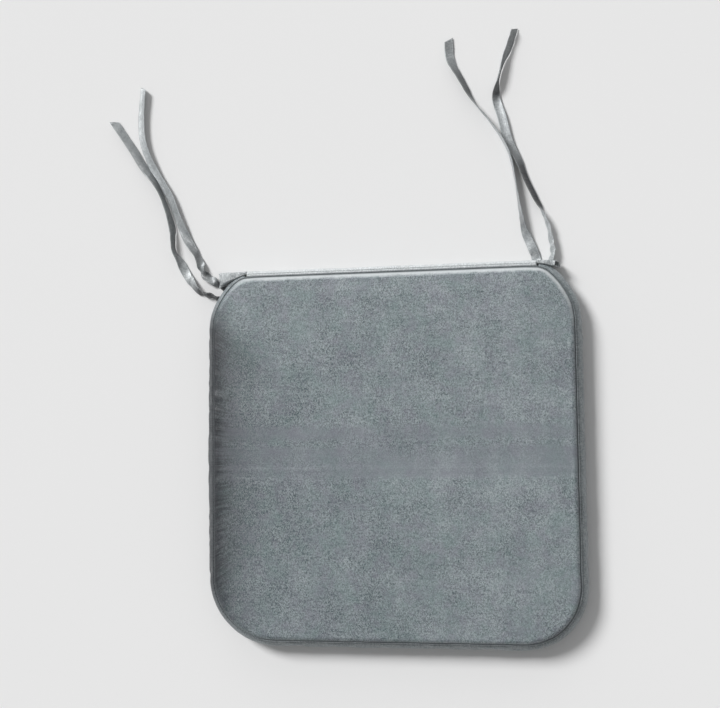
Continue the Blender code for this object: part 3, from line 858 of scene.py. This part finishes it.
def cubic_weights(coarse, places, closed=False):
    """Matrix that reads a line of coarse values at the given places by cubic interpolation."""
    weights = np.zeros((len(places), coarse))
    base = np.floor(places).astype(int)
    taps = cubic(*np.eye(4)[..., None], places - base)
    for shift, tap in zip((-1, 0, 1, 2), taps):
        column = (base + shift) % coarse if closed else np.clip(base + shift, 0, coarse - 1)
        np.add.at(weights, (np.arange(len(places)), column), tap)
    return weights


def settle():
    """Moves of the fine top grid and of the fine band all the way round."""
    top, band = simulate_cover()
    fine = cubic_weights(SIM_STEPS + 1, np.linspace(0, SIM_STEPS, PANEL_STEPS + 1))
    down = cubic_weights(SIM_BAND_ROWS + 1, np.linspace(0, SIM_BAND_ROWS, BAND_ROWS + 1))
    along = cubic_weights(4 * SIM_STEPS, all_round(PANEL_STEPS) * SIM_STEPS, closed=True)
    return np.einsum("ia,abk,jb->ijk", fine, top, fine), np.einsum("ia,abk,jb->ijk", down, band, along)


# ---- the cover

def surface_normals(points):
    """Normals of a grid of points, all to the same side of it."""
    return unit(np.cross(np.gradient(points, axis=0), np.gradient(points, axis=1)))


def closed_panel(name, points, turn, inset, outward_up, material):
    """A panel as thin closed cloth: its face, the same moved inwards, and a hem joining them."""
    normals = surface_normals(points)
    middle = points.shape[0] // 2
    if (normals[middle, middle, 2] > 0) != outward_up:
        normals = -normals
    weave = points * (1, 1, 0)
    seam = stacked(at_turn(SEAM_AT, turn), inset, gather_and_painted_shade(turn))
    return layered_piece(name, points, points - normals * CLOTH, material, outward_up,
                         weave=np.stack([weave, weave]), seam=np.stack([seam, seam]))


def top_cover(moves, material):
    """The satin top panel: its swell, the gathers at its seam, and two faint folds."""
    points, inset, turn = panel_shape(PANEL_STEPS, True)
    points = points + moves * (1 - np.exp(-(inset / SWELL_FADE) ** 2))[..., None]
    normals = surface_normals(points)
    normals *= np.sign(normals[..., 2:3])
    points = points + normals * gathers(turn, inset, 11)[..., None]
    for middle in FOLD_LINES:
        fold = np.exp(-((points[..., 1] - middle - 4 * MM) / (3 * MM)) ** 2)
        points[..., 2] -= FOLD_DEPTH * fold * np.clip(inset / (10 * MM), 0, 1)
    cover = closed_panel("top_cover", points, turn, inset, True, material)
    take_place(cover, "top_panel")


def base_cover(material):
    """The plain bottom panel: flat, with gathers only near its seam."""
    points, inset, turn = panel_shape(PANEL_STEPS, False)
    rise = 0.8 * gathers(turn, inset, 41) * np.clip(1.4 - inset / (12 * MM), 0, 1)
    points[..., 2] = np.maximum(points[..., 2] + rise, 0.0)
    cover = closed_panel("base_cover", points, turn, inset, False, material)
    take_place(cover, "bottom_panel")


def foam_slab(material):
    """The foam inside: a crowned slab that stays clear of the cover all round."""
    layers = []
    for top, rise in ((True, -FOAM_TOP_GAP), (False, FOAM_BASE_GAP)):
        points, _, turn = panel_shape(SIM_STEPS, top)
        share, _ = panel_grid(SIM_STEPS)
        points[..., :2] -= at_turn(OUTWARD, turn) * FOAM_SIDE_GAP * share[..., None]
        points[..., 2] += rise
        layers.append(points)
    take_place(layered_piece("foam_slab", *layers, material), "foam_core")


def boxing(moves, material):
    """The side band from one end of the back strip round the front to the other end."""
    turns = all_round(PANEL_STEPS)
    edge = at_turn(OUTLINE, turns)
    behind = (np.abs(edge[:, 0]) < STRIP_HALF + STRIP_END_GAP) & (edge[:, 1] > 0)
    order = np.flatnonzero(~behind)
    break_at = np.flatnonzero(np.diff(order) > 1)[0]
    order = np.roll(order, -(break_at + 1))
    turns = turns[order]
    points = band_shape(BAND_ROWS, turns) + moves[:, order]
    down = np.linspace(0, 1, BAND_ROWS + 1)[:, None] * BAND_CLOTH
    outward = stacked(*at_turn(OUTWARD, turns).T, 0.0)
    for seed, away in ((71, down), (81, BAND_CLOTH - down)):
        height = 0.9 * gathers(np.broadcast_to(turns, points.shape[:2]), away, seed)
        points = points + outward * height[..., None]
    inner = points - outward * CLOTH
    rings = np.concatenate([points, inner[::-1]]).transpose(1, 0, 2)[::-1]
    turns = turns[::-1, None]
    at = at_turn(SEAM_AT, turns)
    depth = np.concatenate([down, down[::-1]])[:, 0]
    seam = stacked(at, BAND_START + 0.4 * depth, gather_and_painted_shade(turns))
    band = swept_piece("side_boxing", rings, material, stacked(at, depth, 0.0), seam=seam)
    take_place(band, "side_band")


def seam_ridge(name, node_name, z, seed, material):
    """The turned edge beside the seam: a fine roll of cloth, drawn in at every stitch."""
    turns = np.arange(RIDGE_STEPS)[:, None] * 4 / RIDGE_STEPS
    at = at_turn(SEAM_AT, turns)
    radius = RIDGE_RADIUS * (1 + 0.10 * np.cos(2 * math.pi * at / STITCH_PITCH)
                             + 0.16 * ripple(at, SEAM_LENGTH, 5 * MM, seed))
    sides = np.arange(RIDGE_SIDES) * 2 * math.pi / RIDGE_SIDES
    out = RIDGE_RADIUS + radius * np.cos(sides)
    flat = at_turn(OUTLINE, turns) + at_turn(OUTWARD, turns) * out[..., None]
    rings = stacked(flat[..., 0], flat[..., 1], z + radius * np.sin(sides))
    seam = stacked(at, np.full(out.shape, RIDGE_FROM_SEAM), gather_and_painted_shade(turns))
    weave = stacked(at, sides * RIDGE_RADIUS, 0.0)
    take_place(swept_piece(name, rings, material, weave, True, seam), node_name)


# ---- the back strip and its zip

def strip_half(name, node_name, profile, seam_z, way, seed, material):
    """Half of the back strip: out from the seam over its topstitched fold, round the lip, and back."""
    outline, around = smooth_curve(np.array(profile) * MM, 0.35 * MM)
    ahead = unit(np.gradient(outline, axis=0))
    inside = stacked(-ahead[:, 1], ahead[:, 0]) * STRIP_CLOTH
    out, drop = np.concatenate([outline, (outline + inside)[::-1]]).T
    x = np.linspace(-STRIP_HALF, STRIP_HALF, STRIP_STEPS)[:, None]

    def wander(wavelength, shift):
        return ripple(x + STRIP_HALF, 4 * STRIP_HALF, wavelength * MM, seed + shift)

    free = np.clip((out - 1.5 * MM) / (5 * MM), 0, 1) * MM
    y = SEAM_HALF + out + 0.8 * (0.32 * wander(38, 0) + 0.14 * wander(9, 1)) * free
    z = seam_z + way * (drop + 0.25 * wander(30, 2) * free)
    rings = stacked(x, y, z)
    weave = stacked(x, np.concatenate([around, around[::-1]]), 0.0)
    if way < 0:
        rings, weave = rings[:, ::-1], weave[:, ::-1]
    take_place(swept_piece(name, rings, material, weave), node_name)


def tuck_end(name, side, tip, deepens, node_name, seed, material):
    """The strip's folded end: a soft flattened tube that opens towards its mouth."""
    low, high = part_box(node_name)
    root = low[0] if side > 0 else high[0]
    middle_z = (high[2] + low[2]) / 2
    lengthwise = np.linspace(0, 1, TUCK_ROWS)[:, None]
    around = np.linspace(0, 2 * math.pi, TUCK_SIDES, endpoint=False)
    across, upward = (np.sign(wave) * np.abs(wave) ** TUCK_SQUARENESS
                      for wave in (np.cos(around), np.sin(around)))
    half_depth = (TUCK_DEPTH + deepens * lengthwise ** 1.1) / 2
    half_height = (high[2] - low[2]) / 2 * (1 - 0.10 * lengthwise ** 2)
    slanted = lengthwise * abs(tip - root) + 1.6 * MM * around
    crumple = (0.60 * ripple(slanted, 60 * MM, 7.5 * MM, seed)
               + 0.50 * ripple(slanted, 60 * MM, 3.8 * MM, seed + 1))
    crumple = np.abs(crumple) * np.clip(lengthwise * 3, 0, 1) * MM
    slope = lengthwise ** 3 * (1.0 * np.sin(2 * around) - 2.2 * upward) * MM
    x = root + (tip - root) * lengthwise + side * slope
    layers = []
    for wall in (0.0, TUCK_CLOTH):
        y = high[1] - half_depth + (half_depth - wall) * across - 0.6 * crumple
        z = middle_z + (half_height - wall) * upward
        layers.append(stacked(x, y, z - crumple * np.sign(z - middle_z)))
    rings = np.concatenate([layers[0], layers[1][::-1]])
    weave = stacked(rings[..., 0], around * 5 * MM, 0.0)
    if side < 0:
        rings, weave = rings[:, ::-1], weave[:, ::-1]
    take_place(swept_piece(name, rings, material, weave, joined=True), node_name)


def tube(centres, radius, sides):
    """Rings of a round tube along a curve."""
    ahead = unit(np.gradient(centres, axis=0))
    level = np.cross(ahead, (1.0, 0.0, 0.0))
    short = np.linalg.norm(level, axis=1) < 0.2
    level[short] = np.cross(ahead[short], (0.0, 0.0, 1.0))
    level = unit(level)
    other = np.cross(ahead, level)
    turn = (np.arange(sides) * 2 * math.pi / sides)[:, None]
    return centres[:, None] + radius * (level[:, None] * np.cos(turn) + other[:, None] * np.sin(turn))


def coil_row(name, node_name, way, material):
    """One side of the zip's teeth: a flattened nylon coil, its bends towards the other side."""
    low, high = (np.array(corner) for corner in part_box(node_name))
    middle = (low + high) / 2
    reach = (high - low) / 2 - COIL_WIRE
    turns = int(2 * reach[0] / COIL_PITCH)
    t = np.arange(0, turns, 1 / 12)
    angle = 2 * math.pi * t
    x = low[0] + COIL_WIRE + COIL_PITCH * (t - 0.10 * np.sin(2 * angle))
    y = middle[1] + reach[1] * np.cos(angle)
    z = middle[2] + reach[2] * np.sin(angle) * way
    take_place(swept_piece(name, tube(stacked(x, y, z), COIL_WIRE, 6), material), node_name)


def dress_zip(tape, metal):
    """Better materials on the zip's own nodes, with edges worn round on the metal ones."""
    tapes = ("zip_tape_upper", "zip_tape_lower")
    for name in tapes + ("zip_stop_left", "zip_stop_right", "zip_slider", "zip_pull"):
        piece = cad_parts[name]
        piece.data.materials.clear()
        piece.data.materials.append(tape if name in tapes else metal)
        if name not in tapes:
            bevel = piece.modifiers.new("worn_edges", "BEVEL")
            bevel.width = METAL_WEAR
            bevel.segments = 2
            bevel.limit_method = "ANGLE"


# ---- sewing

def capsules(name, centres, along, up, length, radius, material):
    """Short rounded threads: one for each centre, lying along its own direction."""
    along = np.broadcast_to(along, centres.shape)
    across = np.cross(up, along)
    up = np.broadcast_to(up, centres.shape)
    turn = np.arange(STITCH_SIDES) * 2 * math.pi / STITCH_SIDES
    points = []
    for place, width in STITCH_PROFILE:
        sag = -0.9 * radius * (2 * place) ** 2
        for angle in turn:
            offset = along * place * length + up * (sag + radius * width * math.sin(angle))
            points.append(centres + offset + across * radius * width * math.cos(angle))
    points = np.stack(points, axis=1)
    count = points.shape[1]
    one = strip_faces(len(STITCH_PROFILE), STITCH_SIDES, around=True).tolist()
    one += [list(range(STITCH_SIDES))[::-1], list(range(count - STITCH_SIDES, count))]
    faces = [[corner + start for corner in face]
             for start in range(0, len(centres) * count, count) for face in one]
    piece = mesh_piece(name, points.reshape(-1, 3), faces, material)
    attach(piece, "cushion")
    return piece


def seam_stitches(name, z, way, material):
    """Lockstitches in the groove between the ridge and the panel."""
    count = int(SEAM_LENGTH / STITCH_PITCH)
    turns = np.arange(count) * 4 / count
    outward = at_turn(OUTWARD, turns)
    place = at_turn(OUTLINE, turns) - outward * 0.15 * MM
    centres = stacked(*place.T, z + way * 0.35 * MM)
    along = stacked(outward[:, 1], -outward[:, 0], 0.0)
    capsules(name, centres, along, (0.0, 0.0, way), 0.86 * STITCH_PITCH, 0.16 * MM, material)


def strip_stitches(material):
    """Topstitching in the groove along the upper half of the back strip."""
    count = int(2 * STRIP_HALF / STITCH_PITCH)
    x = -STRIP_HALF + (np.arange(count) + 0.5) * STITCH_PITCH
    centres = stacked(x, SEAM_HALF + TOPSTITCH_OUT, TOP_SEAM_Z - TOPSTITCH_DROP)
    capsules("strip_stitches", centres, (1.0, 0.0, 0.0), (0.0, 0.25, 0.968),
             0.8 * STITCH_PITCH, 0.17 * MM, material)


def bar_tack(key, material):
    """Close zigzag stitches over the end of a ribbon."""
    low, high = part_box("bar_tack_" + key)
    start, following = np.array(RIBBON_ROUTES[key])[:2, :2]
    ahead = unit(following - start)
    side = np.array((-ahead[1], ahead[0]))
    number = np.arange(TACK_STITCHES)[:, None]
    steps = (number - (TACK_STITCHES - 1) / 2) * TACK_SPACING
    place = start + ahead * TACK_INSET + side * steps
    along = unit(ahead + side * np.where(number % 2, TACK_LEAN, -TACK_LEAN))
    piece = capsules("tack_" + key, stacked(*place.T, (low[2] + high[2]) / 2), stacked(*along.T, 0.0),
                     (0.0, 0.0, -1.0), 1.5 * MM, 0.24 * MM, material)
    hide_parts("bar_tack_" + key)


def edge_sewing(name, along, rings, facing, material):
    """Lockstitches along both edges of a ribbon, on both of its faces."""
    places = np.arange(2 * EDGE_PITCH, along[-1] - EDGE_PITCH, EDGE_PITCH)
    far_edge = RIBBON_COLUMNS - 2
    lines = []
    for column, up in ((1, facing), (far_edge, facing), (-2, -facing), (-1 - far_edge, -facing)):
        line = rings[:, column]
        lines.append([read_along(values, along, places) for values in (line, np.gradient(line, axis=0), up)])
    centres, ways, ups = (np.concatenate(parts) for parts in zip(*lines))
    centres[:, 2] = np.maximum(centres[:, 2], STITCH_ABOVE_FLOOR)
    return capsules(name, centres, unit(ways), unit(ups), 0.8 * EDGE_PITCH, 0.14 * MM, material)


# ---- ribbons

def lying_line(key, seed):
    """A ribbon's centre line with its distances, lifted where the ribbon stands on its edge, and
    how far the ribbon is turned about it."""
    centres, along = smooth_curve(RIBBON_ROUTES[key], RIBBON_STEP)
    share = along / along[-1]
    shares, degrees = zip(*RIBBON_TURNS[key])
    turns, _ = smooth_curve(stacked(shares, np.radians(degrees)), 0.002)
    roll = np.interp(share, *turns.T) + 0.12 * ripple(along, 2 * along[-1], 23 * MM, seed)
    lift = RIBBON_WIDTH / 2 * np.abs(np.sin(roll)) + RIBBON_THICKNESS
    lift[share < 0.04] = 0
    rest = np.maximum(centres[:, 2], lift)
    rest = np.convolve(np.pad(rest, 3, mode="edge"), np.ones(7) / 7, "valid")
    rest[0] = centres[0, 2]
    centres[:, 2] = np.maximum(rest, centres[:, 2])
    roll[:4] *= np.array((0.0, 0.15, 0.45, 0.8))
    return centres, along, roll


def ribbon_directions(centres, roll):
    """Directions along a ribbon, across its width, and out of its upper face."""
    ahead = unit(np.gradient(centres, axis=0))
    level = unit(stacked(-ahead[:, 1], ahead[:, 0], 0.0))
    upright = np.cross(ahead, level)
    upright *= np.sign(upright[:, 2:3])
    cosine, sine = np.cos(roll)[:, None], np.sin(roll)[:, None]
    return ahead, level * cosine + upright * sine, upright * cosine - level * sine


def ribbon(key, seed, material, thread):
    """A folded, edge-stitched ribbon, twisting and cupping as it lies, cut off at a slant."""
    centres, along, roll = lying_line(key, seed)
    ahead, across, facing = ribbon_directions(centres, roll)
    total = along[-1]
    far = along[:, None]
    share = far / total
    steps = np.linspace(-1, 1, RIBBON_COLUMNS)
    out = np.abs(steps)

    def wander(place, wavelength, shift):
        return ripple(place, 2 * total, wavelength * MM, seed + shift)

    belly = RIBBON_ARCH[key] * (1 + 0.6 * wander(far, 55, 1)) * (0.4 - steps ** 2)
    crumpled = 0.16 + 1.10 * np.exp(-(share / 0.17) ** 2) + 0.16 * np.exp(-((share - 1) / 0.1) ** 2)
    creases = crumpled * MM * wander(far + 2.6 * MM * steps, 4.6, 2)
    hem = np.exp(-((out - 0.86) / 0.09) ** 2) - 1.3 * np.exp(-((out - 0.66) / 0.06) ** 2)
    thick = RIBBON_THICKNESS / 2 * (1 + 0.6 * hem) * np.sqrt(np.maximum(1 - out ** 10, 0.02))
    slant = np.clip(1 - (total - far) / (2 * RIBBON_STEP), 0, 1) * steps * END_SLANT
    reach = RIBBON_WIDTH / 2 * (1 + 0.05 * wander(far, 30, 3)) * steps
    middle = (centres[:, None] + across[:, None] * reach[..., None] + ahead[:, None] * slant[..., None]
              + facing[:, None] * (belly + creases)[..., None])
    thick = facing[:, None] * thick[:, None]
    rings = np.concatenate([middle + thick, (middle - thick)[:, ::-1]], axis=1)
    rings[..., 2] = np.maximum(rings[..., 2], ABOVE_FLOOR)

    sideways = np.concatenate([steps, steps[::-1] + 4]) * RIBBON_WIDTH / 2
    weave = stacked(far, sideways, 0.0)
    # Painted shade along the ribbon, carried in the seam attribute's third part
    painted_shade_level = 0.75 + 0.6 * np.interp(share, *zip(*RIBBON_PAINTED_SHADE[key]))
    seam = stacked(far + 0.3 * sideways, RIBBON_SEAM_DISTANCE, painted_shade_level)
    piece = swept_piece("ribbon_" + key, rings[:, ::-1], material, weave[:, ::-1], seam=seam[:, ::-1])
    take_place(piece, "tie_" + key)
    sewing = edge_sewing("sewing_" + key, along, rings, facing, thread)


# ---- making it all

look_from_above()
light_softly()
lay_floor()

satin = woven_finish("satin_finish", (0.060, 0.084, 0.094), (0.340, 0.384, 0.398), 0.40, 0.05,
                     gloss=0.45, tints=((0.165, 0.240, 0.232), (0.205, 0.195, 0.245)),
                     metal=0.06, painted_shade=0.92, panel=True)
band_satin = woven_finish("band_finish", (0.120, 0.145, 0.155), (0.330, 0.368, 0.384), 0.40, 0.10,
                          gloss=0.8, painted_shade=0.85)
# The back strip and its end tucks are the same satin as the cover, painted much lighter: a painted highlight
# for the light that falls on them from behind
painted_lit_strip_satin = woven_finish("painted_lit_strip_finish", (0.400, 0.425, 0.435), (0.700, 0.735, 0.745), 0.36, 0.20,
                           gloss=0.8)
painted_lit_tuck_satin = woven_finish("painted_lit_tuck_finish", (0.190, 0.210, 0.220), (0.580, 0.612, 0.622), 0.36, 0.20,
                          gloss=0.8, speckle=1.2)
ribbon_satin = woven_finish("ribbon_finish", (0.28, 0.305, 0.315), (0.58, 0.61, 0.62), 0.40, 0.10,
                            gloss=1.0, speckle=0.9, metal=0.15, painted_shade=0.96)
plain = woven_finish("base_finish", (0.105, 0.125, 0.135), (0.220, 0.250, 0.262), 0.62, 0.05,
                     pitch=0.0006)
tape = woven_finish("tape_finish", (0.10, 0.125, 0.14), (0.19, 0.22, 0.24), 0.75, 0.05, pitch=0.0005)
thread = thread_finish("thread_finish", (0.30, 0.345, 0.365))
edge_thread = thread_finish("edge_thread_finish", (0.62, 0.66, 0.67))
nylon = nylon_finish()

for index, key in enumerate(RIBBON_ROUTES):
    ribbon(key, 100 + 10 * index, ribbon_satin, edge_thread)
    bar_tack(key, thread)

top_moves, band_moves = settle()
top_cover(top_moves, satin)
base_cover(plain)
boxing(band_moves, band_satin)
seam_ridge("top_ridge", "top_seam_ridge", TOP_SEAM_Z, 201, band_satin)
seam_ridge("base_ridge", "bottom_seam_ridge", BASE_SEAM_Z, 205, band_satin)
strip_half("strip_upper", "back_band_upper", UPPER_PROFILE, TOP_SEAM_Z, -1, 211, painted_lit_strip_satin)
strip_half("strip_lower", "back_band_lower", LOWER_PROFILE, BASE_SEAM_Z, 1, 221, painted_lit_strip_satin)
tuck_end("tuck_left", -1, -0.1885, 0.0118, "end_tuck_left", 231, painted_lit_tuck_satin)
tuck_end("tuck_right", 1, 0.1765, 0.0032, "end_tuck_right", 241, painted_lit_tuck_satin)
coil_row("coil_upper", "zip_coil_upper", -1, nylon)
coil_row("coil_lower", "zip_coil_lower", 1, nylon)
dress_zip(tape, metal_finish())
seam_stitches("top_stitches", TOP_SEAM_Z, 1, thread)
seam_stitches("base_stitches", BASE_SEAM_Z, -1, thread)
strip_stitches(thread)
foam_slab(foam_finish())
